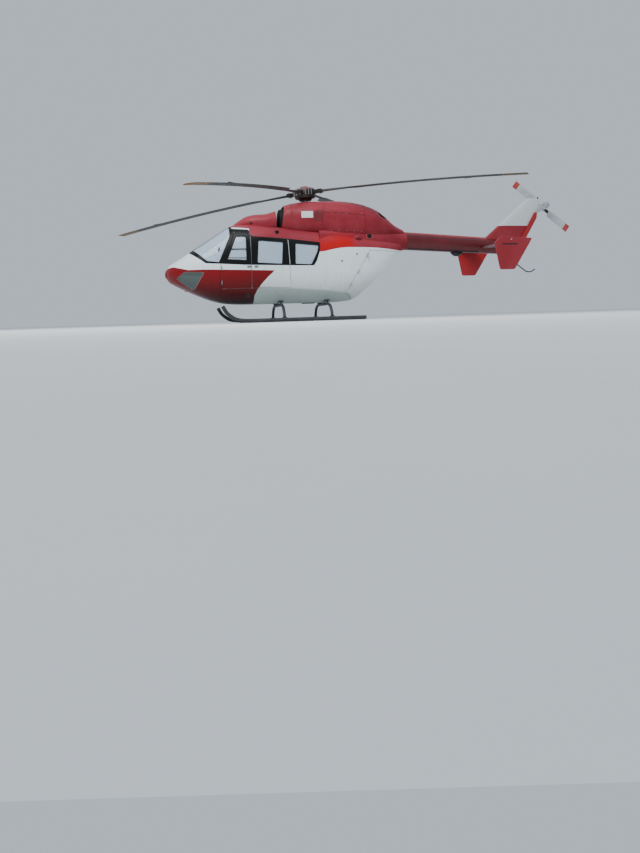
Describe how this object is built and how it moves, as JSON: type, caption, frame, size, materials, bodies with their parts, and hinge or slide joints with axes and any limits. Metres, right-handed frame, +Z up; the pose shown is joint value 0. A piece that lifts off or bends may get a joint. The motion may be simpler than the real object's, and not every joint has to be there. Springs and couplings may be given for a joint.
{
  "type": "helicopter",
  "caption": "Light twin-engined rescue helicopter on skids, with turning rotors, hinged crew doors and clamshell rear doors.",
  "frame": {"origin": "on the ground under the skids, at the middle of the whole length and width with the rotors as they stand", "axes": "+X aft, +Y to starboard, +Z up"},
  "size_m": [12.0527, 9.5044, 3.5935],
  "materials": {
    "red_paint": "gloss enamel, faded and dusty",
    "white_paint": "gloss enamel",
    "black_paint": "satin enamel",
    "metal": "cast and machined",
    "dark_metal": "satin dark grey",
    "blade_skin": "matt dark olive grey",
    "tail_blade_skin": "satin pale grey with red tips",
    "window": "clear acrylic",
    "seat_fabric": "woven cover",
    "panel_plastic": "grained black"
  },
  "bodies": {
    "airframe": {"belly": "white_paint", "cabin_bench": "seat_fabric", "cabin_side_left": "white_paint", "cabin_side_right": "white_paint", "chin_window_left": "window", "chin_window_right": "window", "cross_tube_front": "dark_metal", "cross_tube_rear": "dark_metal", "endplate_left": "red_paint", "endplate_right": "red_paint", "engine_cowling": "red_paint", "engine_deck": "red_paint", "engine_left": "metal", "engine_right": "metal", "exhaust_left": "dark_metal", "exhaust_right": "dark_metal", "fin": "white_paint", "fin_shaft_cover": "red_paint", "front_fairing": "red_paint", "instrument_panel": "panel_plastic", "main_gearbox": "metal", "nose": "red_paint", "pilot_seat_left": "seat_fabric", "pilot_seat_right": "seat_fabric", "rear_window_left": "window", "rear_window_right": "window", "roof": "red_paint", "skid_left": "dark_metal", "skid_right": "dark_metal", "sliding_door_left": "white_paint", "sliding_door_right": "white_paint", "sliding_window_left": "window", "sliding_window_right": "window", "stabiliser_left": "red_paint", "stabiliser_right": "red_paint", "tail_boom": "red_paint", "tail_gearbox": "dark_metal", "tail_guard": "metal", "windscreen_frame": "black_paint", "windscreen_left": "window", "windscreen_right": "window"},
    "main_rotor": {"mast": "metal", "rotor_head": "dark_metal", "main_blade_1": "blade_skin", "main_blade_2": "blade_skin", "main_blade_3": "blade_skin", "main_blade_4": "blade_skin"},
    "tail_rotor": {"tail_rotor": "tail_blade_skin"},
    "crew_door_left": {"crew_door_left": "red_paint", "crew_window_left": "window"},
    "rear_door_left": {"rear_door_left": "white_paint"},
    "crew_door_right": {"crew_door_right": "red_paint", "crew_window_right": "window"},
    "rear_door_right": {"rear_door_right": "white_paint"}
  },
  "joints": [
    {"name": "main_rotor_spin", "type": "hinge", "parent": "airframe", "child": "main_rotor", "pos_m": [-1.3106, 0, 3.2], "axis": [-0.0767, 0, 0.9971], "continuous": true},
    {"name": "tail_rotor_spin", "type": "hinge", "parent": "airframe", "child": "tail_rotor", "pos_m": [5.2094, 0.3, 2.9], "axis": [0, 1, 0], "continuous": true},
    {"name": "crew_door_left_hinge", "type": "hinge", "parent": "airframe", "child": "crew_door_left", "pos_m": [-3.4546, -0.8, 1.125], "axis": [0, 0, -1], "range_deg": [0, 80]},
    {"name": "rear_door_left_hinge", "type": "hinge", "parent": "airframe", "child": "rear_door_left", "pos_m": [-0.1616, -0.748, 1.166], "axis": [-0.5395, 0, -0.842], "range_deg": [0, 100]},
    {"name": "crew_door_right_hinge", "type": "hinge", "parent": "airframe", "child": "crew_door_right", "pos_m": [-3.4546, 0.8, 1.125], "axis": [0, 0, 1], "range_deg": [0, 80]},
    {"name": "rear_door_right_hinge", "type": "hinge", "parent": "airframe", "child": "rear_door_right", "pos_m": [-0.1616, 0.748, 1.166], "axis": [0.5395, 0, 0.842], "range_deg": [0, 100]}
  ]
}
